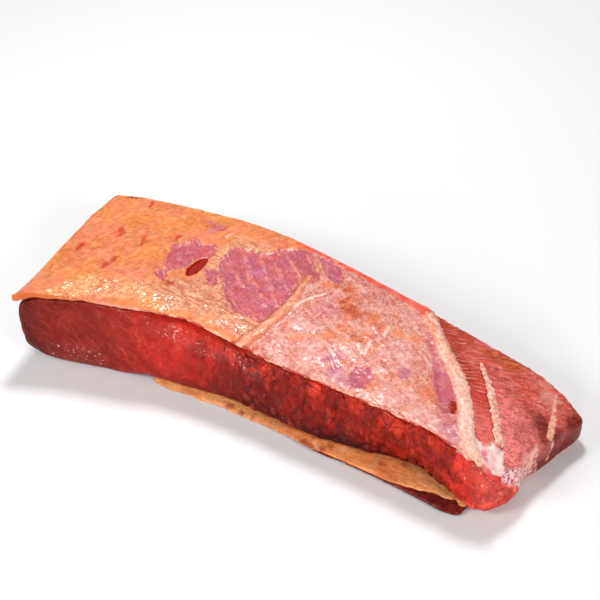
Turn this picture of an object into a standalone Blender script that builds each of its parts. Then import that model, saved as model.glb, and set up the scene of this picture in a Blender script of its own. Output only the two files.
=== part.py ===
"""Raw beef soup meat: one long block cut from the brisket, lying with its fat side up.

Four layers lie on each other and run right through the piece. At the bottom is a thin
flap of lean, then a sheet of fat, then the thick lean, and on top the fat cap, which
thins out into silverskin and ends in a raised fat seam. A narrow strand of fat stands
up on the lean beside it. Lengths are in millimetres, and the origin is under the middle
of the piece, on the surface that it lies on.
"""

import math

import bmesh
import bpy
from mathutils import Vector, noise

MM = 0.001
LAYER_GAP = 0.32
# The middle of the finished piece in the plan below, which is put over the origin.
PLAN_MIDDLE = Vector((-2.5, -1.6, 0))

# The plan of the block: its four cut sides, seen from above. Each row is a place along
# the side and how far out the side lies there.
FRONT_SIDE = ((-156, -73), (-133, -62), (-103, -52), (-60, -43.5), (0, -40), (60, -40.5),
              (100, -42.5), (132, -45.5), (150, -42), (168, -30))
BACK_SIDE = ((-172, 52), (-150, 59), (-120, 64), (-75, 67), (-40, 66), (0, 61), (40, 56),
             (90, 52.5), (140, 50), (170, 40))
LEFT_END = ((-73, -153), (-35, -160), (10, -167), (52, -171.5))
RIGHT_END = ((-50, 143), (-36, 151), (-22, 156), (-9, 154), (4, 159), (20, 162), (34, 167), (48, 167.5),
             (58, 164))

# The height of the thick lean's top along its front and back edges, and its crown.
TOP_AT_FRONT = ((-156, 40.5), (-147, 45.2), (-133, 47), (-100, 47.8), (-75, 47.8), (-55, 47), (-38, 46.3),
                (-18, 45), (5, 43.9), (90, 43.5), (118, 42), (138, 35.5), (158, 20), (172, 14))
TOP_AT_BACK = ((-172, 41), (-120, 44), (-60, 48), (0, 47.5), (45, 44.5), (100, 36), (140, 28), (158, 22),
               (172, 15))
CROWN_AT_LEFT, CROWN = 0.8, 3.0
CROWN_RISES = (-70, 30)
CROWN_ENDS = (110, 170)
# Between these places along the front the lean's upper edge is a rounded shoulder, bare of fat.
SHOULDER_DROP = ((-85, 0), (-62, 1.6), (-12, 1.4), (10, 0))
SHOULDER_REACH = 8
# Its underside rises where the flap lies under it, and curls up at the left end.
LEAN_BOTTOM = ((-172, 23), (-160, 16), (-148, 7.5), (-138, 2), (-126, 0), (-90, 0), (-78, 3.6), (-20, 3.8),
               (20, 5), (60, 6.8), (95, 8.2), (118, 7.8), (130, 6.4), (140, 4.8), (149, 1.5), (158, 1), (172, 5))
# How far the front of the lean draws back at its foot, and bulges at half its height.
FOOT_SET_BACK = ((-172, 4), (-150, 0), (-135, -2.5), (-110, -3.5), (-75, -5), (-50, -4.5), (-20, -1.5),
                 (10, -4), (32, -5.5), (50, -4), (68, -1), (95, 4), (110, 4), (128, -0.5), (138, -2.5), (150, -1),
                 (172, 3))
SIDE_BULGE = 2.2
END_HOLLOW = 0.6
END_LEAN_IN = 2.5
# How far from the front, the back and the left end those reach, as shares of the size.
SIDE_REACH = 0.3
END_REACH = 0.06
# The rounding of the lean's edges, and half the lean's length, width and height.
LEAN_EDGE = 2.6
LEAN_HALF = (170, 55, 22)
# A long shallow wave in the lean's top.
SWELL = 0.9
SWELL_LENGTH, SWELL_WIDTH = 37, 24

# The fat cap: thick at the left end, silverskin in the middle, a raised seam at its right border.
CAP_THICKNESS = ((-172, 5.0), (-140, 4.2), (-100, 3.2), (-60, 2.4), (0, 1.8), (150, 1.4))
CAP_RIGHT_BORDER = ((-46, 148), (-40, 141), (-32, 133), (-16, 123.5), (6, 108.5), (28, 86.5), (58, 58))
CAP_BACK_MARGIN = ((-172, -0.6), (-80, 0.2), (-30, 1.6), (60, 3.0), (140, 4.0))
CAP_FRONT_MARGIN = ((-156, -2.4), (-120, -1.2), (-84, 0.2), (-62, 4.0), (-51, 5.4), (-39, 4.0), (-22, 3.2),
                    (-8, 2.8), (10, 0.6), (150, 1.0))
CAP_LEFT_MARGIN = -1.4
CAP_LUMPS, CAP_LUMP_SIZE = 0.35, 11
CORNER_BEAD = 3.2
CORNER_BEAD_REACH = 34
SEAM_HEIGHT = 2.4
SEAM_WIDTH = 9.0
# Where the piece falls away at the right, the cap keeps twice the gap to the lean.
CAP_STEEP = (100, 120)

# The narrow strand of fat that stands up on the bare lean at the right, as rows of y
# and x along its middle, with the way across it and its size.
STRAND = ((-23.5, 143.5), (-15, 137.8), (-5, 131.5), (12, 119.5), (29, 105.5))
STRAND_ACROSS = Vector((0.8, 0.6))
STRAND_WIDTH, STRAND_TIP_WIDTH = 5.2, 2.3
STRAND_HEIGHT, STRAND_TIP_HEIGHT = 2.0, 0.7

# The sheet of fat under the lean, and the flap of lean under that.
FLAP_LEFT, FLAP_RIGHT = -78, 139.5
FAT_SHEET_FRONT = ((-78, -44), (-68, -49), (-45, -48.5), (-20, -45.5), (10, -47.5), (53, -50.4), (90, -51.2),
                   (110, -49.8), (126, -47.8), (140, -47))
FAT_SHEET_BACK = ((-78, 62), (-40, 62.5), (0, 57.5), (60, 51.5), (140, 46))
LIP_DROOP = 2.4
LIP_REACH = 0.09
LIP_WAVE = 0.65
FLAP_LEAN_LEFT = 22
FLAP_LEAN_TOP = ((22, 1.6), (60, 2.2), (95, 3.8), (118, 4.8), (130, 4.0), (140, 2.8))
FLAP_LEAN_FRONT = ((22, -44), (45, -49.8), (60, -48.6), (93, -50.6), (112, -52.6), (130, -54), (140, -50.5))
FLAP_LEAN_BACK = ((22, 51), (60, 50), (140, 44.5))

# The muscle bundles that show as lumps on the cut sides.
BUNDLE_SIZE = 13.0
BUNDLE_RELIEF = 1.1


def along(profile, at):
    """The profile's value at a place, on a smooth curve through its rows."""
    if at <= profile[0][0]:
        return profile[0][1]
    if at >= profile[-1][0]:
        return profile[-1][1]
    i = next(n for n in range(len(profile) - 1) if at <= profile[n + 1][0])
    (x0, y0), (x1, y1) = profile[i], profile[i + 1]
    slope = (y1 - y0) / (x1 - x0)
    before, after = slope, slope
    if i > 0:
        before = (y1 - profile[i - 1][1]) / (x1 - profile[i - 1][0])
    if i < len(profile) - 2:
        after = (profile[i + 2][1] - y0) / (profile[i + 2][0] - x0)
    width = x1 - x0
    t = (at - x0) / width
    return (
        (2 * t**3 - 3 * t**2 + 1) * y0
        + (t**3 - 2 * t**2 + t) * width * before
        + (3 * t**2 - 2 * t**3) * y1
        + (t**3 - t**2) * width * after
    )


def mix(low, high, share):
    return low + (high - low) * share


def smooth_step(low, high, value):
    share = min(1.0, max(0.0, (value - low) / (high - low)))
    return share * share * (3 - 2 * share)


def rounded_block(name, cells, edge):
    """A cube mesh from -1 to 1 each way, its faces split into cells, its edges rounded.

    edge is the rounding each way, as a share of the half size.
    """
    counts = dict(zip("xyz", cells))
    mesh_builder = bmesh.new()
    bmesh.ops.create_cube(mesh_builder, size=2.0)
    for axis, letter in enumerate("xyz"):
        normal = [0, 0, 0]
        normal[axis] = 1
        for step in range(1, counts[letter]):
            place = [0, 0, 0]
            place[axis] = 2 * step / counts[letter] - 1
            everything = mesh_builder.verts[:] + mesh_builder.edges[:] + mesh_builder.faces[:]
            bmesh.ops.bisect_plane(mesh_builder, geom=everything, plane_co=place, plane_no=normal, dist=1e-6)
    for vertex in mesh_builder.verts:
        inner = [max(-1 + edge[k], min(1 - edge[k], vertex.co[k])) for k in range(3)]
        out = Vector((vertex.co[k] - inner[k]) / edge[k] for k in range(3))
        if out.length > 0:
            out.normalize()
            vertex.co = [inner[k] + edge[k] * out[k] for k in range(3)]
    mesh = bpy.data.meshes.new(name)
    mesh_builder.to_mesh(mesh)
    mesh_builder.free()
    return mesh


def split_alike(mesh):
    """Splits every square into triangles by the same rule, so that neighbours stay clear of each other."""
    mesh_builder = bmesh.new()
    mesh_builder.from_mesh(mesh)
    bmesh.ops.triangulate(mesh_builder, faces=mesh_builder.faces, quad_method="FIXED")
    bmesh.ops.recalc_face_normals(mesh_builder, faces=mesh_builder.faces)
    mesh_builder.to_mesh(mesh)
    mesh_builder.free()


def material(name, colour, roughness):
    finish = bpy.data.materials.new(name)
    finish.use_nodes = True
    shader = finish.node_tree.nodes["Principled BSDF"]
    shader.inputs["Base Color"].default_value = (*colour, 1)
    shader.inputs["Roughness"].default_value = roughness
    shader.inputs["Metallic"].default_value = 0.0
    finish.diffuse_color = (*colour, 1)
    return finish


def layer(name, cells, edge, place, finish):
    """One layer of the piece: a rounded block whose every point is put in its place."""
    mesh = rounded_block(name, cells, edge)
    for vertex in mesh.vertices:
        length_share, width_share, height_share = ((c + 1) / 2 for c in vertex.co)
        vertex.co = (Vector(place(length_share, width_share, height_share)) - PLAN_MIDDLE) * MM
    split_alike(mesh)
    mesh.materials.append(finish)
    mesh.shade_smooth()
    mesh.set_sharp_from_angle(angle=math.radians(60))
    item = bpy.data.objects.new(name, mesh)
    bpy.context.scene.collection.objects.link(item)
    return item


def plan_point(length_share, width_share, front, back, left, right):
    """The point in plan at these shares of the way between the four sides.

    Where a side lies depends on the place along it, so the point closes in on it in steps.
    """
    y = mix(front(0), back(0), width_share)
    for _ in range(3):
        x = mix(left(y), right(y), length_share)
        y = mix(front(x), back(x), width_share)
    return x, y


def lean_bottom(x):
    """The height of the thick lean's underside, which rests on the surface at the left."""
    return max(0.0, along(LEAN_BOTTOM, x))


def lean_top(x, y):
    """The height of the thick lean's upper surface, bare of fat and seams."""
    front, back = along(FRONT_SIDE, x), along(BACK_SIDE, x)
    share = (y - front) / (back - front)
    crown = mix(CROWN_AT_LEFT, CROWN, smooth_step(*CROWN_RISES, x))
    crown *= (1 - (2 * share - 1) ** 2) * (1 - smooth_step(*CROWN_ENDS, x))
    shoulder = along(SHOULDER_DROP, x) * (1 - smooth_step(0, SHOULDER_REACH, y - front))
    swell = SWELL * math.sin(x / SWELL_LENGTH + 0.6) * math.sin(y / SWELL_WIDTH)
    return mix(along(TOP_AT_FRONT, x), along(TOP_AT_BACK, x), share) + crown + swell - shoulder


def cap_thickness(x, y):
    """How thick the cap is: its fat, the bead at the front left corner and the seam at the right."""
    corner = math.hypot(x - FRONT_SIDE[0][0], y - FRONT_SIDE[0][1])
    bead = CORNER_BEAD * (1 - smooth_step(0, CORNER_BEAD_REACH, corner))
    to_border = along(CAP_RIGHT_BORDER, y) - x
    seam = SEAM_HEIGHT * math.exp(-((to_border - SEAM_WIDTH / 2) / (SEAM_WIDTH / 2)) ** 2)
    lumps = CAP_LUMPS * noise.noise(Vector((x, y, 0)) / CAP_LUMP_SIZE)
    return along(CAP_THICKNESS, x) + bead + seam + lumps


def bundle_relief(x, y, z):
    """The rounded ends of the muscle bundles on a face cut across the grain."""
    place = Vector((x, y, z)) / BUNDLE_SIZE
    return BUNDLE_RELIEF * (0.45 - noise.voronoi(place)[0][0]) + 0.5 * noise.noise(place * 0.45)


def place_lean(length_share, width_share, height_share):
    """The thick lean, which every other layer lies against."""
    x, y = plan_point(
        length_share,
        width_share,
        lambda at: along(FRONT_SIDE, at),
        lambda at: along(BACK_SIDE, at),
        lambda at: along(LEFT_END, at),
        lambda at: along(RIGHT_END, at),
    )
    z = mix(lean_bottom(x), lean_top(x, y), height_share)
    frontness = 1 - smooth_step(0.0, SIDE_REACH, width_share)
    backness = smooth_step(1 - SIDE_REACH, 1.0, width_share)
    leftness = 1 - smooth_step(0.0, END_REACH, length_share)
    # The cut sides are lumpy between their edges, and smooth where they meet a neighbour.
    sides = math.sin(math.pi * height_share)
    lumps = bundle_relief(x, y, z) * sides
    bulge = SIDE_BULGE * sides
    foot = along(FOOT_SET_BACK, x) * (1 - smooth_step(0.0, 0.75, height_share))
    y += frontness * (foot - bulge - lumps) + backness * (bulge + lumps - foot / 2)
    x += leftness * (END_HOLLOW * sides - lumps + END_LEAN_IN * (1 - height_share))
    return x, y, z


def place_fat_cap(length_share, width_share, height_share):
    """The fat cap and silverskin, a skin of changing thickness that follows the lean's top."""
    x, y = plan_point(
        length_share,
        width_share,
        lambda at: along(FRONT_SIDE, at) + along(CAP_FRONT_MARGIN, at),
        lambda at: along(BACK_SIDE, at) - along(CAP_BACK_MARGIN, at),
        lambda at: along(LEFT_END, at) + CAP_LEFT_MARGIN,
        lambda at: along(CAP_RIGHT_BORDER, at),
    )
    gap = LAYER_GAP * (1 + smooth_step(*CAP_STEEP, x))
    return x, y, lean_top(x, y) + gap + cap_thickness(x, y) * height_share


def place_fat_strand(length_share, width_share, height_share):
    """A strand of fat that stands up on the bare lean, thinner towards its far end."""
    y = mix(STRAND[-1][0], STRAND[0][0], length_share)
    middle = Vector((along(STRAND, y), y))
    width = mix(STRAND_TIP_WIDTH, STRAND_WIDTH, smooth_step(0.0, 0.5, length_share))
    x, y = middle + STRAND_ACROSS * width * (width_share - 0.5)
    rounding = math.sin(math.pi * width_share) * math.sin(math.pi * mix(0.15, 0.85, length_share))
    height = mix(STRAND_TIP_HEIGHT, STRAND_HEIGHT, rounding)
    return x, y, lean_top(x, y) + LAYER_GAP + height * height_share


def place_fat_sheet(length_share, width_share, height_share):
    """The sheet of fat between the thick lean and the flap, standing out along the front."""
    x = mix(FLAP_LEFT, FLAP_RIGHT, length_share)
    y = mix(along(FAT_SHEET_FRONT, x), along(FAT_SHEET_BACK, x), width_share)
    rise = smooth_step(FLAP_LEAN_LEFT - 9, FLAP_LEAN_LEFT - 3, x)
    low = rise * (along(FLAP_LEAN_TOP, x) + LAYER_GAP)
    high = lean_bottom(x) - LAYER_GAP
    # The sheet's front edge droops over the flap and thins out towards its wavy lip.
    lip = 1 - smooth_step(0.0, LIP_REACH, width_share)
    droop = lip * min(LIP_DROOP, (high - low) / 3)
    z = mix(low, high - droop, height_share)
    wave = LIP_WAVE * (math.sin(x / 8.5) + 0.6 * math.sin(x / 3.9 + 1))
    y += (1 - smooth_step(0.0, 2 * LIP_REACH, width_share)) * wave
    return x, y, z


def place_flap_lean(length_share, width_share, height_share):
    """The thin flap of lean that the piece lies on at the right."""
    x = mix(FLAP_LEAN_LEFT, FLAP_RIGHT - 2, length_share)
    y = mix(along(FLAP_LEAN_FRONT, x), along(FLAP_LEAN_BACK, x), width_share)
    z = along(FLAP_LEAN_TOP, x) * height_share
    return x, y, z


def main():
    for item in list(bpy.data.objects):
        bpy.data.objects.remove(item)
    lean_red = material("lean", (0.42, 0.035, 0.025), 0.35)
    cap_yellow = material("fat_cap", (0.86, 0.42, 0.16), 0.4)
    strand_cream = material("fat_strand", (0.88, 0.68, 0.52), 0.4)
    sheet_tan = material("fat_sheet", (0.75, 0.42, 0.2), 0.45)
    flap_red = material("flap_lean", (0.25, 0.02, 0.02), 0.4)
    # Each layer has its cells along, across and up, and the rounding of its edges each way.
    lean_edges = tuple(LEAN_EDGE / half for half in LEAN_HALF)
    layer("lean", (62, 18, 8), lean_edges, place_lean, lean_red)
    layer("fat_cap", (44, 16, 2), (0.012, 0.03, 0.9), place_fat_cap, cap_yellow)
    layer("fat_strand", (18, 4, 1), (0.08, 0.25, 0.9), place_fat_strand, strand_cream)
    layer("fat_sheet", (30, 12, 2), (0.03, 0.06, 0.9), place_fat_sheet, sheet_tan)
    layer("flap_lean", (18, 10, 2), (0.05, 0.06, 0.9), place_flap_lean, flap_red)


main()
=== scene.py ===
"""The looks of one raw block of beef for soup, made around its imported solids.

Every layer's solid is replaced by a finer copy of itself, with the muscle bundles, the
grain, the fat seams and the silverskin as real relief. What lies where on the meat is
kept on the mesh as distances in millimetres, which the finishes read.
"""

import math

import bpy
import numpy as np
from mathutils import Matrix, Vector, noise
from mathutils.bvhtree import BVHTree


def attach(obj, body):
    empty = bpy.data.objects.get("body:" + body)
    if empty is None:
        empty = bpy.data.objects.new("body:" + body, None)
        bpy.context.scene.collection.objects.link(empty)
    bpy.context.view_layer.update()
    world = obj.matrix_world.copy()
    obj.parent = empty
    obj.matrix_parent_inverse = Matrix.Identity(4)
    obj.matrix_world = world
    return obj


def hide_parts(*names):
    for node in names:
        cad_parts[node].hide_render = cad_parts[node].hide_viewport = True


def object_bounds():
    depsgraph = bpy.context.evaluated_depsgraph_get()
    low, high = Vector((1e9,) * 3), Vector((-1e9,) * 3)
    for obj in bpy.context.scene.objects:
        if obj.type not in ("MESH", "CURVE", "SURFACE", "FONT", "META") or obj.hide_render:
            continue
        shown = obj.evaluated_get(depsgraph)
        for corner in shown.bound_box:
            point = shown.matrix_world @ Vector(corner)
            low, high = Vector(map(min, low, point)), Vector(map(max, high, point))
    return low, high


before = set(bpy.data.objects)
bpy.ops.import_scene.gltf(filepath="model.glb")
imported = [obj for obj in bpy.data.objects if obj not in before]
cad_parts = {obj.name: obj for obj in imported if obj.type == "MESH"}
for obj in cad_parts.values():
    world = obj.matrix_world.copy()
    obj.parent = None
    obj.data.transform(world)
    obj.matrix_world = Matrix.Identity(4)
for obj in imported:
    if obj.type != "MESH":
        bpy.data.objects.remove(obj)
cad_box = [list(corner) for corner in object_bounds()]
MM = 0.001

# The camera
# It looks down on the meat from the front right, from the place that the photograph was
# taken from. The photograph's pixels name places on the meat further down, and a ray
# from here through a pixel finds the place.
AZIMUTH, ELEVATION = math.radians(32), math.radians(37)
DISTANCE = 0.880
TARGET = Vector((-0.0220, 0.0456, 0.0220))
LENS, SENSOR = 85.0, 36.0
PICTURE = 600

towards = Vector((math.sin(AZIMUTH) * math.cos(ELEVATION), -math.cos(AZIMUTH) * math.cos(ELEVATION),
                  math.sin(ELEVATION)))
rightwards = Vector((math.cos(AZIMUTH), math.sin(AZIMUTH), 0))
upwards = towards.cross(rightwards)
eye = TARGET + towards * DISTANCE

lens = bpy.data.cameras.new("camera")
lens.lens, lens.sensor_width = LENS, SENSOR
camera = bpy.data.objects.new("camera", lens)
camera.location = eye
camera.rotation_euler = (-towards).to_track_quat("-Z", "Y").to_euler()
bpy.context.scene.collection.objects.link(camera)
bpy.context.scene.camera = camera

# The thick lean
# One muscle, cut across its grain at the front, so that the ends of its bundles stand
# out as lumps with cracks between them, which the finish darkens with painted shade. At the
# right its top lies bare, and the grain runs over it as fine ribs.
LEAN_ROUNDING = 2
BUNDLE_SIZE = (6.5, 8.0, 16.0)
LARGE_BUNDLE_SIZE = (15.0, 15.0, 22.0)
COLUMNS_ABOVE = 18
SQUEEZE_BELOW = 1.3
CRACK_DEPTH = 1.7
COBBLES_FROM, COBBLES_FULL = -60, 0
RIB_PITCH = 3.0
RIB_HEIGHT = 0.3
GRAIN_ANGLE = 32
ACROSS_GRAIN = (-0.530, 0.848, 0)
BARE_TOP_FROM = 45
FAT_BORDER_SLANT, FAT_BORDER_AT = 0.9, 95
FINE_CELL = (6.2, 6.2, 8.5)
CELL_WAVES, CELL_SHIFT = 7, 5
SETBACK = 0.35


def whole_meat():
    """All the solids as one tree that rays can hit."""
    points, faces = [], []
    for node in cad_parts.values():
        faces += [[i + len(points) for i in face.vertices] for face in node.data.polygons]
        points += [vertex.co[:] for vertex in node.data.vertices]
    return BVHTree.FromPolygons(points, faces)


meat = whole_meat()


def on_meat(pixels):
    """The places on the meat that these pixels show, in millimetres."""
    places = []
    pixel_size = SENSOR / LENS / PICTURE
    for u, v in pixels:
        across, up = (u - PICTURE / 2) * pixel_size, (PICTURE / 2 - v) * pixel_size
        ray = -towards + rightwards * across + upwards * up
        hit = meat.ray_cast(eye, ray.normalized())[0]
        if hit is not None:
            places.append(tuple(hit / MM))
    return np.array(places)


def in_plan(pixels):
    """The same places seen from above."""
    return on_meat(pixels)[:, :2]


def finer_copy(name, node, rounding):
    """A copy of a CAD node, merged into quads and rounded by subdivision."""
    piece = bpy.data.objects.new(name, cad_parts[node].data.copy())
    bpy.context.scene.collection.objects.link(piece)
    bpy.ops.object.select_all(action="DESELECT")
    piece.select_set(True)
    bpy.context.view_layer.objects.active = piece
    bpy.ops.mesh.customdata_custom_splitnormals_clear()
    bpy.ops.object.mode_set(mode="EDIT")
    bpy.ops.mesh.select_all(action="SELECT")
    bpy.ops.mesh.remove_doubles(threshold=0.01 * MM)
    bpy.ops.mesh.mark_sharp(clear=True)
    bpy.ops.mesh.tris_convert_to_quads(face_threshold=math.pi, shape_threshold=math.pi)
    bpy.ops.object.mode_set(mode="OBJECT")
    rounder = piece.modifiers.new("rounding", "SUBSURF")
    rounder.levels = rounder.render_levels = rounding
    bpy.ops.object.modifier_apply(modifier=rounder.name)
    return piece


def split_faces(piece, chosen, cuts):
    """Splits the faces for which chosen(centre in mm, normal) holds."""
    count = len(piece.data.polygons)
    centres, normals = np.empty(count * 3), np.empty(count * 3)
    piece.data.polygons.foreach_get("center", centres)
    piece.data.polygons.foreach_get("normal", normals)
    picked = chosen(centres.reshape(-1, 3) / MM, normals.reshape(-1, 3))
    bpy.ops.object.mode_set(mode="EDIT")
    bpy.ops.mesh.select_mode(type="FACE")
    bpy.ops.mesh.select_all(action="DESELECT")
    bpy.ops.object.mode_set(mode="OBJECT")
    piece.data.polygons.foreach_set("select", picked)
    bpy.ops.object.mode_set(mode="EDIT")
    bpy.ops.mesh.subdivide(number_cuts=cuts)
    bpy.ops.object.mode_set(mode="OBJECT")


def points_of(piece):
    """The piece's points in millimetres, and its normals there."""
    count = len(piece.data.vertices)
    points, normals = np.empty(count * 3), np.empty(count * 3)
    piece.data.vertices.foreach_get("co", points)
    piece.data.vertex_normals.foreach_get("vector", normals)
    return points.reshape(-1, 3) / MM, normals.reshape(-1, 3)


def push_out(piece, points, normals, height):
    """Moves points out along their normals by millimetres, but never out of the solids' box."""
    moved = np.clip((points + normals * height[:, None]) * MM, cad_box[0], cad_box[1])
    piece.data.vertices.foreach_set("co", moved.ravel())
    piece.data.update()
    piece.data.shade_smooth()


def keep_on(piece, **kept):
    """Keeps numbers for every point of the piece, under their names, for its finish to read."""
    for name, values in kept.items():
        layer = piece.data.attributes.new(name, "FLOAT", "POINT")
        layer.data.foreach_set("value", np.ascontiguousarray(values, dtype=np.float32))


def ease(low, high, values):
    """From 0 at low to 1 at high, softly at both ends."""
    share = np.clip((values - low) / (high - low), 0, 1)
    return share * share * (3 - 2 * share)


def ripple(points, size, seed=0.0):
    """Smooth random waves from -1 to 1, about as long as size in millimetres."""
    scaled = points / np.asarray(size) + seed
    return np.array([noise.noise(p) for p in scaled.tolist()])


def wander(points, size, seeds):
    """Smooth random shifts along the three axes, with one seed for each."""
    return np.stack([ripple(points, size, seed) for seed in seeds], 1)


def drawn_out(points, angle, length, width, seed=0.0):
    """Waves that are drawn out in plan along an angle in degrees."""
    c, s = math.cos(math.radians(angle)), math.sin(math.radians(angle))
    x, y, z = points.T
    return ripple(np.stack([(x * c + y * s) / length, (y * c - x * s) / width, z / width], 1), 1.0, seed)


def bundles(points, size):
    """The distances to a bundle's middle and to the crack round it, and the bundle's tone."""
    found = [noise.voronoi(p) for p in (points / np.asarray(size)).tolist()]
    nearest = np.array([distances[:2] for distances, _ in found])
    tone = np.array([noise.cell(feet[0] * 7.31) for _, feet in found])
    return nearest[:, 0], nearest[:, 1] - nearest[:, 0], tone


def to_line(points, line):
    """The distance from each point to a line through the given places, in plan or in space."""
    best = np.full(len(points), np.inf)
    points = points[:, :line.shape[1]]
    for start, end in zip(line[:-1], line[1:]):
        run = end - start
        share = np.clip(((points - start) @ run) / (run @ run), 0, 1)
        best = np.minimum(best, np.linalg.norm(points - start - share[:, None] * run, axis=1))
    return best


def band(points, half_width, pixels):
    """How deep each point lies in a band along pixels on the meat, and below 0 beside it."""
    return half_width - to_line(points, on_meat(pixels))


def spots(points, centres):
    """How deep each point lies in plan inside round spots, given as pixel, pixel, radius in mm."""
    best = np.full(len(points), -np.inf)
    for (x, y), (_, _, radius) in zip(in_plan([c[:2] for c in centres]), centres):
        best = np.maximum(best, radius - np.hypot(points[:, 0] - x, points[:, 1] - y))
    return best


def inside(points, pixels):
    """How deep each point lies in plan inside an outline of pixels, and below 0 outside it."""
    closed = in_plan((*pixels, pixels[0]))
    x, y = points[:, 0], points[:, 1]
    odd = np.zeros(len(points), bool)
    for (ax, ay), (bx, by) in zip(closed[:-1], closed[1:]):
        if ay != by:
            odd ^= ((ay > y) != (by > y)) & (x < (bx - ax) * (y - ay) / (by - ay) + ax)
    return np.where(odd, 1, -1) * to_line(points, closed)


def right_of(points, pixels):
    """The distance in plan to a line of pixels across the block, and below 0 left of it."""
    line = in_plan(pixels)
    line = line[np.argsort(line[:, 1])]
    border = np.interp(points[:, 1], line[:, 1], line[:, 0])
    return np.sign(points[:, 0] - border) * to_line(points, line)


def lean_that_shows(centres, normals):
    """The cut side, and the top where no fat lies on it."""
    cut = (normals[:, 1] < -0.45) & (normals[:, 2] > -0.75)
    past_border = centres[:, 0] + FAT_BORDER_SLANT * centres[:, 1] > FAT_BORDER_AT
    return cut | (normals[:, 2] > 0.3) & (centres[:, 0] > BARE_TOP_FROM) & past_border


lean = finer_copy("lean_meat", "lean", LEAN_ROUNDING)
split_faces(lean, lean_that_shows, 1)
# Pixels along the borders of the fat and along the wet places.
WIDE_SEAM = ((429, 314), (438, 331), (446, 350), (454, 366), (461, 381), (465, 397), (468, 413), (467, 428),
             (470, 443), (479, 454), (487, 462))
NARROW_SEAM = ((462, 352), (470, 364), (483, 372), (488, 387), (492, 399), (495, 415), (495, 426),
               (499, 437), (501, 443), (497, 448), (499, 461), (501, 475))
WET_BAND = ((150, 328), (165, 332), (184, 341), (205, 351), (232, 358), (255, 375))
WET_CORNER = ((474, 474), (488, 486), (500, 490), (486, 498))
WET_LEFT = ((55, 350), (75, 353), (98, 358))
places, facing = points_of(lean)
cut_side = 1 - ease(0.75, 0.97, np.abs(facing[:, 2]))
front = ease(0.0, 0.5, -facing[:, 1])
bare_top = ease(0.5, 0.8, facing[:, 2]) * ease(-2, 2, right_of(places, WIDE_SEAM))
end_side = ease(0.3, 0.8, facing[:, 0]) * ease(-24, -10, places[:, 1])
cobbled = np.where(front > 0.5, ease(COBBLES_FROM, COBBLES_FULL, places[:, 0]), 0.45) * (1 - 0.8 * end_side)
bent = places + 1.8 * wander(places, 9, (3.1, 7.7, 11.3)) + 0.9 * wander(places, 3.6, (53, 57, 61))
low = np.minimum(bent[:, 2] - COLUMNS_ABOVE, 0)
bent[:, 2] += low * SQUEEZE_BELOW
middle, crack, tone = bundles(bent, BUNDLE_SIZE)
large_middle, large_crack, _ = bundles(bent + 2.0 * ripple(places, 6, 31)[:, None], LARGE_BUNDLE_SIZE)
fade = ease(-0.35, 0.3, ripple(places, (9, 9, 14), 21.0))
dome = 1 - np.exp(-3.5 * crack)
large_dome = 1 - np.exp(-5 * large_crack)
small_cracks = (1 - ease(0.0, 0.09, crack)) * (0.15 + 0.85 * fade)
large_cracks = 0.8 * (1 - ease(0.0, 0.06, large_crack))
lumps = CRACK_DEPTH * (0.35 + 0.65 * fade) * (dome - 0.6) + 0.5 * (0.5 - middle) + 0.9 * (large_dome - 0.7)
between_seams = 1 - ease(-1.5, 1.5, right_of(places, NARROW_SEAM))
rib_line = places @ np.array(ACROSS_GRAIN) + 1.6 * ripple(places, 7, 5.0)
broad_ribs = np.sin(2 * math.pi * rib_line / RIB_PITCH) * (0.5 + ripple(places, 5, 15.0))
fine_ribs = drawn_out(bent, GRAIN_ANGLE, 14, 2.2, 2.0)
ribs = RIB_HEIGHT * (between_seams * broad_ribs + 1.6 * fine_ribs)
x, y, z = places.T
fibres = ripple(np.stack([(x + z) / 12, y / 8, (z - 0.8 * x) / 2.2], 1), 1.0)
wet_spots = np.maximum(band(places, 9, WET_CORNER), band(places, 6, WET_LEFT))
wet = np.maximum(ease(-2, 2, band(places, 4.5, WET_BAND)), ease(-4, 4, wet_spots))
height = cut_side * (cobbled * lumps + (1 - cobbled) * (0.12 * fibres + 0.3 * (0.5 - large_middle)))
height += bare_top * ribs + 0.55 * ripple(places, 17, 9.0) + 0.25 * ripple(places, 7, 12.0)
height += (0.07 + 0.25 * wet) * ripple(places, 2.8, 1.0)
push_out(lean, places, facing, height - SETBACK)

# Outlines, lines and spots as pixels, a spot with its radius in millimetres. The film runs
# out between the two seams at the front, and the hollow under the front's middle is painted
# dark as shade.
FILM_FOOT = ((456, 440), (466, 434), (478, 439), (486, 446), (494, 442), (500, 446), (505, 450), (504, 462),
             (505, 478), (508, 484), (500, 483), (492, 472), (483, 463), (470, 455), (457, 447))
FILM_SPOT = ((484, 453, 2.2), (486, 458, 1.5), (458, 442, 1.2))
FOAM = ((509, 477), (516, 478), (523, 479))
NEAR_FAT = ((538, 449), (531, 457), (525, 466), (517, 473), (526, 475), (536, 473), (535, 466), (536, 458))
HOLLOW = ((306, 434), (322, 438), (340, 442), (352, 446), (366, 452), (392, 464), (414, 474), (438, 489))
PALE_END = ((528, 362, 4), (538, 372, 6), (545, 384, 6), (550, 398, 5))
BROWN_BACK = ((488, 352, 4), (497, 357, 7), (508, 362, 8), (518, 368, 5))
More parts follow.
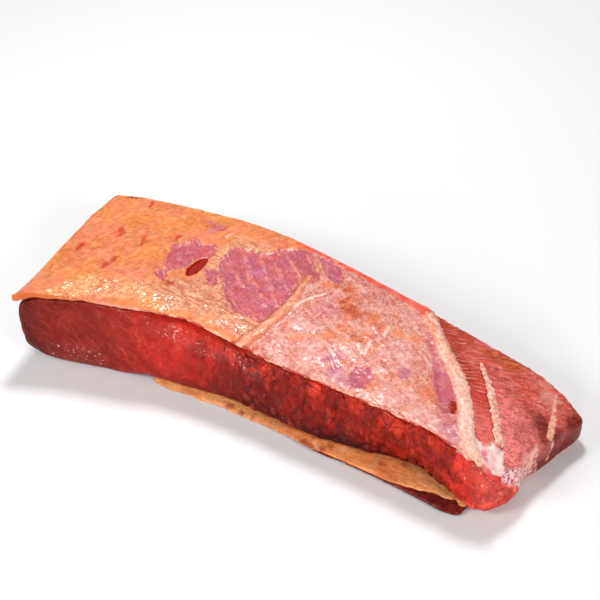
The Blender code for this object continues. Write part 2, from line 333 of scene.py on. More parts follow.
# The lines of fat at the tip: half a line's width in millimetres and the pixels along it.
TIP_FATS = (
    (0.9, ((556, 396), (554, 412), (552, 424), (551, 434), (553, 446), (547, 461))),
    (1.7, ((554, 417), (552, 425), (550, 437))),
    (1.2, ((537, 446), (532, 459), (527, 470), (518, 471))),
    (0.7, ((583, 409), (584, 424))),
)
faces_down = 6 * (1 - ease(0.2, 0.55, facing[:, 2]))
keep_on(
    lean,
    # Where the finish paints shade in the cracks and round the feet of the lumps.
    cracks=np.maximum(small_cracks, large_cracks) * cut_side * cobbled,
    dome=np.minimum(dome, large_dome) * cut_side * cobbled,
    between_lumps=(1 - np.minimum(dome, large_dome)) ** 4 * fade * cut_side * cobbled,
    cobbled=cut_side * cobbled,
    bundle_tone=0.5 + (tone - 0.5) * dome * cobbled,
    bundle_borders=(1 - ease(0.0, 0.07, large_crack)) * cut_side * (1 - cobbled),
    bare_top=bare_top,
    end_side=end_side,
    rib=bare_top * between_seams * broad_ribs,
    between_seams=bare_top * between_seams,
    wet=wet,
    film_foot=inside(places, FILM_FOOT) - faces_down,
    film_spot=spots(places, FILM_SPOT),
    hollow=band(places, 5.0, HOLLOW),
    foam=band(places, 4.8, FOAM),
    near_fat=inside(places, NEAR_FAT),
    tip_fat=np.max([band(places, half_width, line) for half_width, line in TIP_FATS], axis=0),
    pale_end=spots(places, PALE_END),
    brown_back=spots(places, BROWN_BACK),
)


class Kit:
    """Places nodes in one tree. Each call puts a node in and returns the socket it puts out."""

    def __init__(self, tree):
        self.tree = tree

    def node(self, kind, out, inputs, **settings):
        made = self.tree.nodes.new(kind)
        for name, setting in settings.items():
            setattr(made, name, setting)
        for socket, given in inputs.items():
            if isinstance(given, bpy.types.NodeSocket):
                self.tree.links.new(given, made.inputs[socket])
            elif given is not None:
                made.inputs[socket].default_value = given
        return made.outputs[out]

    def kept(self, name):
        return self.node("ShaderNodeAttribute", "Fac", {}, attribute_name=name)

    def place(self):
        return self.node("ShaderNodeTexCoord", "Object", {})

    def blots(self, scale, detail, roughness=0.5, out="Fac"):
        """Plain noise, with its scale given as the number of blots to a metre."""
        inputs = {"Vector": self.place(), "Scale": scale, "Detail": detail, "Roughness": roughness}
        return self.node("ShaderNodeTexNoise", out, inputs)

    def noise(self, size, detail=4.0, roughness=0.55, low=0.35, high=0.65, top=1.0):
        """Soft blots about as large as size in millimetres: 0 to top as the noise goes from low to high."""
        return self.ease(self.blots(1 / (size * MM), detail, roughness), low, high, 0.0, top)

    def stretched(self, angle, length, width, wave, upright):
        """Noise drawn out along an angle in degrees, in plan or on upright sides, sized in millimetres."""
        turn = math.radians(angle)
        mapping = {"Vector": self.place(), "Rotation": (0, turn, 0) if upright else (0, 0, turn),
                   "Scale": (length * MM, width * MM, width * MM)}
        mapped = self.node("ShaderNodeMapping", "Vector", mapping, vector_type="TEXTURE")
        inputs = {"Vector": mapped, "Scale": 1.0, "Detail": 5.0, "Roughness": 0.6, "Distortion": wave}
        return self.node("ShaderNodeTexNoise", "Fac", inputs)

    def streaks(self, angle, length, width, low=0.45, high=0.65, top=1.0, wave=0.5, upright=False):
        """Streaks along an angle: 0 to top as the noise goes from low to high."""
        return self.ease(self.stretched(angle, length, width, wave, upright), low, high, 0.0, top)

    def threads(self, angle, length, width, thinness=0.02, top=1.0, wave=0.5, upright=False):
        """Thin wandering lines along an angle: top on a line and 0 beside it."""
        noise_there = self.sum(self.stretched(angle, length, width, wave, upright), -0.5)
        off_line = self.node("ShaderNodeMath", 0, {0: noise_there}, operation="ABSOLUTE")
        return self.ease(off_line, thinness, 0.0, 0.0, top)

    def cells(self, size, kind, out):
        """Wandering cells of a size in millimetres: the distance to a cell's edge, or its colour."""
        waves = self.blots(1 / (CELL_WAVES * MM), 3.0, out="Color")
        inputs = {0: waves, 1: (CELL_SHIFT * MM,) * 3, 2: self.place()}
        bent = self.node("ShaderNodeVectorMath", 0, inputs, operation="MULTIPLY_ADD")
        inputs = {"Vector": bent, "Scale": tuple(side * MM for side in size)}
        sized = self.node("ShaderNodeMapping", "Vector", inputs, vector_type="TEXTURE")
        return self.node("ShaderNodeTexVoronoi", out, {"Vector": sized, "Scale": 1.0}, feature=kind)

    def along(self, axis):
        """How far a place lies along an axis, in millimetres."""
        return self.times(self.node("ShaderNodeSeparateXYZ", axis, {"Vector": self.place()}), 1 / MM)

    def patch(self, name, raggedness, tooth, softness, top=1.0, wider=0.0):
        """Top where a kept distance is above 0, with a ragged and slightly soft edge."""
        inputs = {"Depth": self.sum(self.kept(name), wider), "Raggedness": raggedness, "Tooth": tooth,
                  "Softness": softness}
        return self.times(self.node("ShaderNodeGroup", "Mask", inputs, node_tree=RAGGED_EDGE), top)

    def shade(self, colour, blots, darkest, lightest):
        """Makes a colour darker and lighter with the blots."""
        amount = self.ease(blots, 0.0, 1.0, darkest, lightest)
        return self.mix(1.0, colour, amount, "MULTIPLY")

    def sum(self, first, second):
        return self.node("ShaderNodeMath", 0, {0: first, 1: second}, operation="ADD")

    def times(self, product, *factors):
        for factor in factors:
            product = self.node("ShaderNodeMath", 0, {0: product, 1: factor}, operation="MULTIPLY")
        return product

    def ease(self, value, low, high, floor=0.0, top=1.0):
        """Turns low to high into floor to top, softly at both ends."""
        inputs = {"Value": value, "From Min": low, "From Max": high, "To Min": floor, "To Max": top}
        return self.node("ShaderNodeMapRange", "Result", inputs, interpolation_type="SMOOTHSTEP")

    def mix(self, share, under, over, blend="MIX"):
        inputs = {"Factor": share, 6: light(under), 7: light(over)}
        return self.node("ShaderNodeMix", 2, inputs, data_type="RGBA", blend_type=blend)

    def paint(self, colour, *layers):
        """Lays colours over the first one in turn. A layer is its share and its colour."""
        for share, over in layers:
            colour = self.mix(share, colour, over)
        return colour


def light(colour):
    """The linear light of a colour in the photograph's 0 to 255. A socket stays as it is."""
    if isinstance(colour, bpy.types.NodeSocket):
        return colour
    shares = [c / 255 for c in colour]
    return tuple(s / 12.92 if s <= 0.04045 else ((s + 0.055) / 1.055) ** 2.4 for s in shares) + (1,)


def group(name, inputs, outputs):
    """A new shader group with these sockets, and the nodes that carry them."""
    tree = bpy.data.node_groups.new(name, "ShaderNodeTree")
    for socket, kind, start in inputs:
        made = tree.interface.new_socket(socket, in_out="INPUT", socket_type=kind)
        made.default_value = start
    for socket, kind in outputs:
        tree.interface.new_socket(socket, in_out="OUTPUT", socket_type=kind)
    return tree, tree.nodes.new("NodeGroupInput"), tree.nodes.new("NodeGroupOutput")


def ragged_edge_group():
    """Turns a kept distance into a mask with a ragged, slightly soft edge."""
    inputs = [("Depth", "NodeSocketFloat", 0.0), ("Raggedness", "NodeSocketFloat", 1.0),
              ("Tooth", "NodeSocketFloat", 2.0), ("Softness", "NodeSocketFloat", 0.4)]
    tree, given, put_out = group("ragged_edge", inputs, [("Mask", "NodeSocketFloat")])
    kit = Kit(tree)
    scale = kit.node("ShaderNodeMath", 0, {0: 1 / MM, 1: given.outputs["Tooth"]}, operation="DIVIDE")
    grain = kit.blots(scale, 5.0, 0.65)
    tooth = kit.times(kit.sum(grain, -0.5), kit.times(given.outputs["Raggedness"], 2.0))
    depth = kit.sum(given.outputs["Depth"], tooth)
    below = kit.times(given.outputs["Softness"], -1.0)
    mask = kit.ease(depth, below, given.outputs["Softness"])
    tree.links.new(mask, put_out.inputs["Mask"])
    return tree


def moist_group():
    """The fine unevenness of moist meat and fat: a normal, and where the wet film is thick."""
    inputs = [("Grain", "NodeSocketFloat", 1.2), ("Depth", "NodeSocketFloat", 0.3),
              ("Height", "NodeSocketFloat", 0.0)]
    outputs = [("Normal", "NodeSocketVector"), ("Wetness", "NodeSocketFloat")]
    tree, given, put_out = group("moist_surface", inputs, outputs)
    kit = Kit(tree)
    scale = kit.node("ShaderNodeMath", 0, {0: 1 / MM, 1: given.outputs["Grain"]}, operation="DIVIDE")
    fine_and_beads = kit.sum(kit.blots(scale, 4.0), kit.blots(1 / (2.6 * MM), 2.0))
    height = kit.sum(kit.times(fine_and_beads, given.outputs["Depth"]), given.outputs["Height"])
    bump = kit.node("ShaderNodeBump", "Normal", {"Strength": 1.0, "Distance": 1.0 * MM, "Height": height})
    wetness = kit.noise(6.0)
    tree.links.new(bump, put_out.inputs["Normal"])
    tree.links.new(wetness, put_out.inputs["Wetness"])
    return tree


RAGGED_EDGE = ragged_edge_group()
MOIST = moist_group()
WET_FILM = {"Coat Roughness": 0.08, "Coat IOR": 1.4, "Specular IOR Level": 0.18,
            "Specular Tint": (1.0, 0.55, 0.5, 1)}


def finish(piece, colour_of, grain, depth, roughness, coat, height_of=None):
    """Gives a piece its material: colour_of wires its colour, and the rest sets how moist it looks."""
    made = bpy.data.materials.new(piece.name)
    made.use_nodes = True
    kit = Kit(made.node_tree)
    link = made.node_tree.links.new
    shader = made.node_tree.nodes["Principled BSDF"]
    link(colour_of(kit), shader.inputs["Base Color"])
    moist = made.node_tree.nodes.new("ShaderNodeGroup")
    moist.node_tree = MOIST
    moist.inputs["Grain"].default_value = grain
    moist.inputs["Depth"].default_value = depth
    if height_of:
        link(height_of(kit), moist.inputs["Height"])
    link(moist.outputs["Normal"], shader.inputs["Normal"])
    wet = kit.ease(kit.kept("wet"), 0.0, 1.0, 0.05, 0.7)
    wet = kit.sum(kit.times(moist.outputs["Wetness"], 0.3), wet)
    link(kit.times(wet, coat), shader.inputs["Coat Weight"])
    for name, setting in {"Roughness": roughness, **WET_FILM}.items():
        shader.inputs[name].default_value = setting
    piece.data.materials.clear()
    piece.data.materials.append(made)


def lean_height(kit):
    """The cells of the cut side stand out between fine cracks."""
    return kit.times(kit.ease(kit.cells(FINE_CELL, "DISTANCE_TO_EDGE", "Distance"), 0, 0.22, 0, 0.4),
                     kit.kept("cobbled"))


def bare_meat(kit, x):
    """The bare top: pink with streaks along the grain, ribbed between the seams, brown at the tip."""
    y = kit.along("Y")
    top = kit.paint(
        (218, 100, 88),
        (kit.noise(16), (206, 80, 64)),
        # Paler pink towards the front: partly a thin film on the meat, partly painted sheen.
        (kit.ease(y, 28, -6, 0, 0.9), (255, 136, 130)),
    )
    top = kit.shade(top, kit.streaks(GRAIN_ANGLE, 12, 2.2, 0.4, 0.6, wave=1.2), 0.76, 1.18)
    rust = kit.mix(kit.streaks(GRAIN_ANGLE, 9, 1.8, 0.45, 0.62), (168, 60, 30), (222, 116, 70))
    brown = kit.mix(kit.streaks(GRAIN_ANGLE, 8, 2.2, 0.4, 0.62), (96, 24, 16), (150, 52, 38))
    top = kit.paint(
        top,
        (kit.streaks(GRAIN_ANGLE, 12, 1.4, 0.54, 0.7, 0.4, 1.2), (248, 170, 160)),
        (kit.threads(GRAIN_ANGLE, 26, 3.4, 0.03, 0.45, 0.8), (252, 190, 178)),
        (kit.threads(GRAIN_ANGLE, 26, 3.8, 0.04, 0.55, 0.8), (128, 30, 28)),
        (kit.streaks(GRAIN_ANGLE, 14, 2.4, 0.54, 0.68, 0.55, 0.8), (156, 44, 36)),
        (kit.patch("pale_end", 6, 5, 2.4, 0.4), (236, 166, 154)),
        (kit.patch("brown_back", 5, 6, 3, 0.85), rust),
        (kit.ease(x, 146, 163, 0, 0.95), kit.shade(brown, kit.noise(1.8), 0.75, 1.2)),
    )
    ribbed = kit.paint(
        (196, 72, 54),
        (kit.noise(12), (208, 80, 72)),
        (kit.ease(y, 34, 4, 0.6, 0), (172, 62, 40)),
        # paler towards the front: partly film, partly painted sheen
        (kit.ease(y, 4, -18, 0, 0.6), (244, 130, 122)),
        (kit.ease(kit.kept("rib"), 0.1, 0.9, 0, 0.6), (244, 160, 144)),
        (kit.ease(kit.kept("rib"), -0.2, -0.8, 0, 0.5), (168, 34, 28)),
    )
    ribbed = kit.shade(ribbed, kit.noise(2.2), 0.85, 1.15)
    return kit.mix(kit.ease(kit.kept("between_seams"), 0.3, 0.7), top, ribbed)


def lean_colour(kit):
    """Brick red at the left, deep red in the middle, bright red at the corner, pink on the bare top;
    painted light and shade on the cut side.
    """
    x = kit.sum(kit.along("X"), kit.times(kit.sum(kit.noise(30), -0.5), 20))
    z = kit.along("Z")
    # Painted light: the top of the cut side, where it rounds over towards the light, is painted a brighter
    # orange red.
    upper = kit.ease(kit.sum(z, kit.times(kit.noise(12), 6)), 34, 46, 0, 0.4)
    # Painted shade: right of the middle, the foot of the cut side is painted dark maroon where shade falls
    # under the bulge.
    foot = kit.ease(kit.sum(z, kit.times(kit.noise(9), 8)), 26, 8)
    right_half = kit.times(kit.ease(x, -95, -35, 0.12, 0.75), kit.ease(x, 146, 128))
    colour = kit.paint(
        (78, 14, 10),
        (kit.ease(x, -168, -108), (136, 32, 22)),
        (kit.ease(x, -115, -60), (184, 36, 28)),
        (kit.ease(x, -50, 0), (126, 15, 8)),
        (kit.ease(x, 10, 40), (148, 22, 8)),
        (kit.ease(x, 60, 90), (164, 26, 12)),
        # The brighter red towards the corner is partly the meat's own colour and partly painted light; the
        # pale pink at the very corner is a painted highlight.
        (kit.ease(x, 118, 144), (238, 58, 46)),
        (kit.ease(x, 144, 158, 0, 0.3), (252, 116, 98)),
        # painted light along the top of the cut side
        (kit.times(upper, kit.ease(x, -60, 0)), (226, 62, 40)),
        # painted shade at the foot
        (kit.times(foot, right_half), (74, 11, 9)),
    )
    colour = kit.shade(colour, kit.noise(12, 3), 0.85, 1.12)
    colour = kit.shade(colour, kit.kept("bundle_tone"), 0.85, 1.15)
    colour = kit.shade(colour, kit.noise(2.2, 5, 0.6), 0.88, 1.12)
    left = kit.ease(x, -40, -90, 0.25, 1)
    fibres = kit.times(kit.threads(40, 26, 6, 0.012, 0.2, 0.6, upright=True), left)
    dark_fibres = kit.times(kit.threads(48, 22, 7, 0.02, 0.35, 0.6, upright=True), left)
    # Painted glints: whiter flecks in the wet zones.
    wet_flecks = kit.times(kit.noise(1.8, 2, 0.5, 0.64, 0.7, 0.5),
                           kit.ease(kit.kept("wet"), 0.4, 0.9))
    colour = kit.paint(
        colour,
        # painted highlight on the crests of the lumps
        (kit.ease(kit.kept("dome"), 0.4, 0.95, 0, 0.2), (236, 92, 54)),
        (fibres, (220, 104, 84)),
        (dark_fibres, (84, 14, 14)),
        (kit.streaks(38, 16, 2.8, 0.5, 0.72, 0.17, 1, upright=True), (206, 78, 58)),
        # painted glints: small pale pink flecks all over, and whiter ones in the wet zones
        (kit.noise(0.9, 3, 0.6, 0.62, 0.78, 0.12), (232, 140, 120)),
        (wet_flecks, (255, 200, 190)),
    )
    left_of_corner = kit.ease(x, 112, 132, 1, 0.45)
    cell_tone = kit.node("ShaderNodeSeparateColor", 0, {0: kit.cells(FINE_CELL, "F1", "Color")})
    in_cells = kit.shade(colour, cell_tone, 0.78, 1.24)
    # Painted shade: dark lines in the fine cracks, and a soft darkening round the lumps' feet.
    fine_cracks = kit.ease(kit.cells(FINE_CELL, "DISTANCE_TO_EDGE", "Distance"), 0.075, 0.01)
    fine_cracks = kit.times(fine_cracks, kit.kept("cobbled"), kit.noise(11, 3, 0.5, 0.36, 0.56, 0.8))
    between_lumps = kit.ease(kit.kept("between_lumps"), 0.04, 0.9, 0, 0.35)
    pale_borders = kit.times(kit.kept("bundle_borders"), kit.noise(8, 3, 0.5, 0.45, 0.6, 0.28))
    # Painted shade: the end side is painted darker towards the bottom.
    low_end = kit.times(kit.kept("end_side"), kit.ease(z, 22, 2, 0.1, 0.8))
    cream = kit.shade((240, 176, 148), kit.noise(2), 0.82, 1.12)
    near_fat = kit.mix(kit.noise(3), (255, 214, 200), (246, 170, 156))
    film = kit.paint(
        (255, 232, 222),
        (kit.noise(5, 4, 0.6, 0.42, 0.6), (255, 190, 184)),
        (kit.streaks(-62, 9, 1.6, 0.5, 0.66, 0.6), (255, 238, 230)),
        (kit.patch("film_spot", 2.5, 3, 1.2, 0.8), (232, 104, 128)),
    )
    foam = kit.paint(
        (200, 86, 88),
        (kit.noise(2.2, 3, 0.6, 0.38, 0.54), (255, 216, 216)),
        (kit.noise(1.6, 2, 0.5, 0.56, 0.64), (160, 36, 50)),
    )
    return kit.paint(
        colour,
        (kit.kept("cobbled"), in_cells),
        # painted shade in the cracks and between the lumps
        (kit.times(fine_cracks, left_of_corner), (76, 10, 8)),
        (kit.times(between_lumps, left_of_corner), (92, 10, 10)),
        (kit.times(kit.kept("cracks"), 0.25, left_of_corner), (60, 6, 8)),
        # painted shade in the hollow above the fat sheet
        (kit.patch("hollow", 3, 7, 4, 0.85), (44, 6, 10)),
        (kit.times(pale_borders, kit.ease(x, -120, -90)), (228, 100, 84)),
        (kit.sum(kit.kept("bare_top"), kit.kept("end_side")), bare_meat(kit, x)),
        # painted shade low on the end side
        (low_end, (110, 28, 20)),
        (kit.patch("tip_fat", 2.6, 4, 0.6, 0.9), cream),
        (kit.patch("near_fat", 3.5, 3, 0.8), near_fat),
        (kit.patch("film_foot", 3, 3.5, 1), film),
        (kit.patch("foam", 3, 3, 1.2, 0.9), foam),
    )


finish(lean, lean_colour, grain=1.1, depth=0.2, roughness=0.42, coat=0.6, height_of=lean_height)
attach(lean, "root")
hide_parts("lean")

# The fat cap
# The fat that lay under the hide: firm and yellow at the left, thinner and more peach
# in colour further on, and only silverskin right of the strand that crosses it. Where
# it is thinnest the purple of the meat shows through. It ends in a wide raised seam.
CAP_ROUNDING = 2
# Outlines, lines and spots as pixels, a spot with its radius in millimetres.
SLIT = ((185, 273), (187, 267), (193, 262), (201, 257), (208, 256), (208, 260), (203, 267), (196, 273),
        (188, 275))
HOLE = ((449, 401), (452, 399), (456, 402), (457, 408), (455, 413), (451, 412), (448, 407))
WINDOWS = {
    "at_slit": ((172, 247), (183, 243), (194, 240), (205, 244), (216, 245), (215, 254), (207, 257),
                (196, 258), (187, 266), (178, 268), (168, 270), (163, 279), (156, 278), (156, 272),
                (163, 267), (168, 258)),
    "large": ((221, 259), (232, 249), (253, 249), (266, 254), (275, 252), (287, 253), (301, 267),
              (302, 278), (296, 292), (288, 298), (282, 309), (270, 319), (261, 322), (253, 319),
              (235, 310), (226, 296), (222, 284), (219, 271)),
    "small": ((205, 268), (216, 268), (220, 282), (213, 285)),
    "back": ((275, 250), (290, 249), (304, 250), (318, 264), (320, 279), (310, 277), (296, 270)),
    "at_rim": ((320, 258), (330, 260), (340, 268), (346, 278), (344, 283), (335, 281), (326, 274)),
    "low": ((350, 374), (357, 367), (369, 368), (374, 379), (365, 388), (353, 386)),
    "beside_seam": ((436, 368), (444, 368), (450, 380), (454, 392), (452, 402), (442, 402), (437, 390)),
}
STAINS = {
    "upper": ((205, 222), (216, 220), (225, 230), (218, 234), (208, 231)),
    "blob": ((318, 302), (330, 300), (338, 308), (334, 318), (322, 316)),
}
VALLEY = ((426, 328), (433, 342), (440, 356), (446, 367), (451, 380), (455, 392), (457, 410), (457, 422),
          (450, 424), (444, 414), (439, 402), (436, 388), (434, 370), (430, 350))
LILAC = ((333, 358, 4), (336, 370, 5), (338, 379, 3), (345, 384, 3), (449, 428, 5), (455, 436, 4),
         (404, 372, 4))
DARK_SCRAP = ((128, 197, 1.0), (132, 197, 1.3), (136, 198, 1.1))
VIOLET = ((249, 262, 5), (256, 270, 5))
BROWN_WINDOW = ((300, 262, 4), (309, 266, 5), (314, 274, 4))
LEFT_RIM = ((18, 296), (24, 284), (36, 269), (50, 253), (64, 239), (78, 226), (92, 211), (106, 198),
            (118, 193))
BROWN_SPOTS = ((347, 290, 3), (343, 300, 3), (350, 309, 5), (357, 315, 3), (338, 286, 2), (356, 338, 3),
               (168, 282, 3))
STRAND = ((311, 276), (302, 287), (296, 296), (288, 306), (275, 318), (261, 330), (250, 337), (243, 344))
THIN_STRANDS = (((326, 293), (315, 296), (304, 300), (294, 307)), ((389, 326), (387, 330), (384, 335)),
                ((370, 340), (369, 345), (366, 350)), ((226, 236), (232, 233)))
WINDOW_LINES = (((286, 253), (296, 268), (303, 284)), ((244, 252), (252, 276), (260, 292), (264, 304)),
                ((260, 254), (265, 271), (272, 289), (277, 305)), ((275, 264), (284, 279), (289, 292)),
                ((312, 257), (320, 270), (332, 284)), ((228, 262), (243, 285)))
PEACH = ((152, 290), (166, 278), (188, 277), (206, 262), (222, 250), (236, 236), (268, 246), (300, 262),
         (309, 278), (286, 310), (262, 330), (246, 342), (226, 330), (196, 314), (164, 302))
WHITE_CLOUDS = ((298, 322, 6), (310, 344, 7), (307, 332, 5), (306, 360, 6), (330, 356, 4), (336, 378, 4),
                (402, 352, 8), (412, 318, 6), (384, 390, 6), (400, 396, 6), (430, 420, 7), (418, 408, 6),
                (446, 436, 7), (462, 438, 5))
ORANGE_CLOUDS = ((328, 285, 4), (348, 304, 4), (352, 313, 5), (385, 326, 3), (400, 332, 4), (365, 337, 4),
                 (374, 386, 4), (392, 374, 3), (417, 338, 4), (372, 318, 5), (342, 328, 4), (318, 268, 4),
                 (330, 335, 4), (300, 336, 3), (430, 392, 7), (350, 290, 5))
RED_FLECKS = ((142, 240), (141, 245), (103, 267), (112, 261), (80, 247), (78, 249), (150, 206), (120, 236),
              (119, 232), (176, 240))
GLINT_ROWS = ((62, 292), (84, 283), (110, 286), (140, 288), (158, 296))
GLINTS_BELOW = ((166, 290), (200, 290), (225, 312), (245, 328), (262, 324))
FAT_END = ((306, 244), (309, 262), (309, 278), (293, 299), (275, 318), (250, 338), (241, 346))
BACK_RIM = ((284, 234), (300, 242), (316, 250), (344, 264), (372, 280), (400, 295), (428, 311))
ORANGE_LINES = (((290, 335), (312, 335), (335, 336), (346, 341), (358, 338)),
                ((386, 328), (400, 334), (415, 340)))
FLECK_SLOPE = (3, -4)
GLINT_ZONE = 14
FLECK_ANGLE, WRINKLE_ANGLE, WINDOW_LINE_ANGLE, FILM_ANGLE = 81, -11, -43, -30


def to_lines(points, lines):
    """The distance in plan to the nearest of several lines of pixels."""
    return np.min([to_line(points, in_plan(line)) for line in lines], axis=0)


def inside_any(points, outlines):
    """How deep each point lies in plan inside the nearest of several outlines."""
    return np.max([inside(points, outline) for outline in outlines.values()], axis=0)


cap = finer_copy("cap_fat", "fat_cap", CAP_ROUNDING)
split_faces(cap, lambda centres, normals: normals[:, 2] > 0.25, 1)
glint_rows = in_plan(GLINT_ROWS)
split_faces(
    cap, lambda centres, normals: (normals[:, 2] > 0.3) & (to_line(centres, glint_rows) < GLINT_ZONE), 1
)
places, facing = points_of(cap)
top = ease(0.3, 0.7, facing[:, 2])
peach = inside(places, PEACH)
fat_end = right_of(places, FAT_END)
window = inside_any(places, WINDOWS)
stain = inside_any(places, STAINS)
rim = 2.6 - to_line(places, in_plan(BACK_RIM))
orange_line = 0.8 - to_lines(places, ORANGE_LINES)
slit = inside(places, SLIT)
hole = inside(places, HOLE)
down_strand = np.linalg.norm(places[:, :2] - in_plan(STRAND[:1]), axis=1)
strand = 1.7 + 1.8 * ease(5, 40, down_strand) - to_line(places, in_plan(STRAND))
# Where the painted shadow along the strand's upper left side goes.
strand_foot = 1.4 - np.abs(strand + 0.8) - 3 * ease(-1, 1, right_of(places, STRAND))
thin_strand = 0.6 - to_lines(places, THIN_STRANDS)
window_line = 0.8 - to_lines(places, WINDOW_LINES)
seam_gap = right_of(places, WIDE_SEAM)
seam = 4.8 - 1.8 * ease(0, 48, places[:, 1]) - to_line(places, in_plan(WIDE_SEAM))
ragged_seam = seam + 0.8 * ripple(places, 5, 4.0)
ragged_seam += ease(-1.0, 2.0, seam_gap) * 2.2 * drawn_out(places, GRAIN_ANGLE, 7, 2.0)
fleck_lines = [((u, v), (u + FLECK_SLOPE[0], v + FLECK_SLOPE[1])) for u, v in RED_FLECKS]
flecks = 1.4 - to_lines(places, fleck_lines)
wet_rows = ease(-6, 6, GLINT_ZONE - 4 - to_line(places, glint_rows))
wet_below = ease(-5, 5, 8 - to_line(places, in_plan(GLINTS_BELOW)))
wet = np.maximum(wet_rows, 0.35 * wet_below)
lip = ease(0.25, 0.6, -facing[:, 1])
seam_side = (1 - ease(0.5, 0.8, facing[:, 2])) * ease(-3, -1, seam_gap)

on_fat = 1 - ease(-6, 10, fat_end)
on_yellow = on_fat * (1 - ease(-6, 6, peach))
bent = places + 1.2 * wander(places, 6, (41, 43, 47))
folds = drawn_out(bent, FLECK_ANGLE, 7, 2.6, 1.0)
wrinkles = drawn_out(bent, WRINKLE_ANGLE, 16, 3.0, 4.0)
crossing = drawn_out(bent, WINDOW_LINE_ANGLE, 20, 3.2, 8.0)
grains = 0.5 - bundles(bent, 2.6)[0]
film_wrinkles = drawn_out(bent, FILM_ANGLE, 12, 2.6, 3.0)
bumpy = 0.25 + 0.75 * np.maximum(ease(0.0, 0.4, ripple(places, 20, 30.0)), wet)
swells = drawn_out(bent, FLECK_ANGLE, 26, 13, 5.0)
height = on_yellow * (0.6 * swells + bumpy * (0.46 * folds + (0.16 + 0.4 * wet) * grains))
height += on_fat * (1 - on_yellow) * (0.3 * wrinkles + (0.22 + 0.2 * wet) * grains)
height += (1 - on_fat) * (0.3 * film_wrinkles + 0.1 * crossing)
height += 1.4 * ease(-1.4, 2.6, strand) * (1 + 0.4 * ripple(places, 6, 9.0))
height += 0.4 * ease(-0.6, 0.8, thin_strand)
height += 1.0 * ease(-1.5, 3.0, ragged_seam) * (1 + 0.3 * ripple(places, 4.5, 6.0))
valley = inside(places, VALLEY)
height -= 0.5 * ease(-1, 3, valley)
height -= (0.5 - 0.35 * ease(-1.0, 0.6, window_line)) * ease(-1.2, 1.2, window) * (1 + 0.2 * crossing)
height -= 2.0 * ease(-0.8, 1.6, slit) + 1.2 * ease(-0.4, 1.2, hole)
height += 0.35 * ripple(places, (14, 10, 10), 8.0) + 0.1 * ripple(places, 2.2, 2.0)
edge = lip * (0.6 + 0.9 * ripple(places, (9, 9, 5), 3.0) + 0.5 * ripple(places, 3.0, 5.0))
edge += seam_side * 1.7 * drawn_out(places, GRAIN_ANGLE, 7, 2.0)
push_out(cap, places, facing, top * height + edge - SETBACK)
keep_on(
    cap, peach=peach, fat_end=fat_end, window=window, stain=stain, slit=slit, hole=hole, strand=strand,
    thin_strand=thin_strand, strand_foot=strand_foot, seam=ragged_seam, seam_gap=seam_gap, rim=rim,
    orange_line=orange_line, window_line=window_line, flecks=flecks, wet=wet, lip=lip, valley=valley,
    left_rim=2.2 - to_line(places, in_plan(LEFT_RIM)), brown_spot=spots(places, BROWN_SPOTS),
    lilac=spots(places, LILAC), violet=spots(places, VIOLET), brown_window=spots(places, BROWN_WINDOW),
    dark_scrap=spots(places, DARK_SCRAP), white_cloud=spots(places, WHITE_CLOUDS),
    orange_cloud=spots(places, ORANGE_CLOUDS),
)


def yellow_fat(kit):
    """The thick fat at the left, with red flecks, and glints and sheen painted in the wet zones."""
    flecked = kit.noise(26, 3, 0.5, 0.45, 0.6)
    red_streaks = kit.times(kit.streaks(FLECK_ANGLE, 7, 2.2, 0.55, 0.65, 0.8), flecked)
    # Painted glints: small white specks in the wet zones.
    wet_flecks = kit.times(kit.noise(1.3, 2, 0.5, 0.62, 0.68, 0.85),
                           kit.ease(kit.kept("wet"), 0.1, 0.8))
    yellow = kit.paint(
        (230, 128, 62),
        (kit.noise(24, 3), (230, 126, 88)),
        (kit.noise(11, 4, 0.55, 0.54, 0.68, 0.5), (216, 138, 66)),
        (kit.noise(15, 4, 0.55, 0.52, 0.66, 0.45), (236, 136, 104)),
        (kit.streaks(FLECK_ANGLE, 10, 5, 0.48, 0.66, 0.6), (242, 164, 106)),
        (kit.streaks(FLECK_ANGLE, 6, 2, 0.54, 0.7, 0.35), (248, 180, 120)),
        (red_streaks, (210, 82, 52)),
        (kit.noise(30, 3, 0.5, 0.5, 0.6, 0.4), (236, 130, 104)),
        (kit.times(kit.threads(FLECK_ANGLE, 9, 3.4, 0.03, 0.38), flecked), (198, 88, 48)),
        (kit.threads(FLECK_ANGLE - 14, 9, 3.4, 0.025, 0.3), (255, 196, 136)),
        (kit.patch("left_rim", 1.5, 5, 1.6, 0.6), (212, 112, 52)),
        (kit.patch("flecks", 3, 4, 1.4, 0.85), (202, 54, 32)),
        # painted sheen and glints in the wet zones
        (kit.times(kit.ease(kit.kept("wet"), 0.2, 0.8, 0, 0.5), kit.noise(3)), (255, 200, 140)),
        (wet_flecks, (255, 232, 206)),
    )
    yellow = kit.shade(yellow, kit.noise(3.2, 5, 0.6), 0.86, 1.08)
    return kit.shade(yellow, kit.noise(9, 3, 0.5), 0.93, 1.07)


def peach_fat(kit):
    """The thinner fat round the windows, with pale and brown wrinkles."""
    peach = kit.paint(
        (208, 128, 90),
        (kit.noise(16), (200, 108, 86)),
        (kit.streaks(WRINKLE_ANGLE, 14, 2.6, 0.45, 0.65, 0.7), (244, 184, 138)),
        (kit.streaks(WRINKLE_ANGLE, 9, 1.6, 0.56, 0.7, 0.5), (196, 92, 84)),
        (kit.threads(WRINKLE_ANGLE, 12, 2.6, 0.03, 0.6), (255, 206, 168)),
        (kit.threads(WRINKLE_ANGLE, 10, 3, 0.03, 0.5), (176, 84, 70)),
        (kit.noise(2.6, 3, 0.5, 0.6, 0.7, 0.5), (255, 212, 164)),
    )
    return kit.shade(peach, kit.noise(2.4, 5, 0.6), 0.86, 1.14)


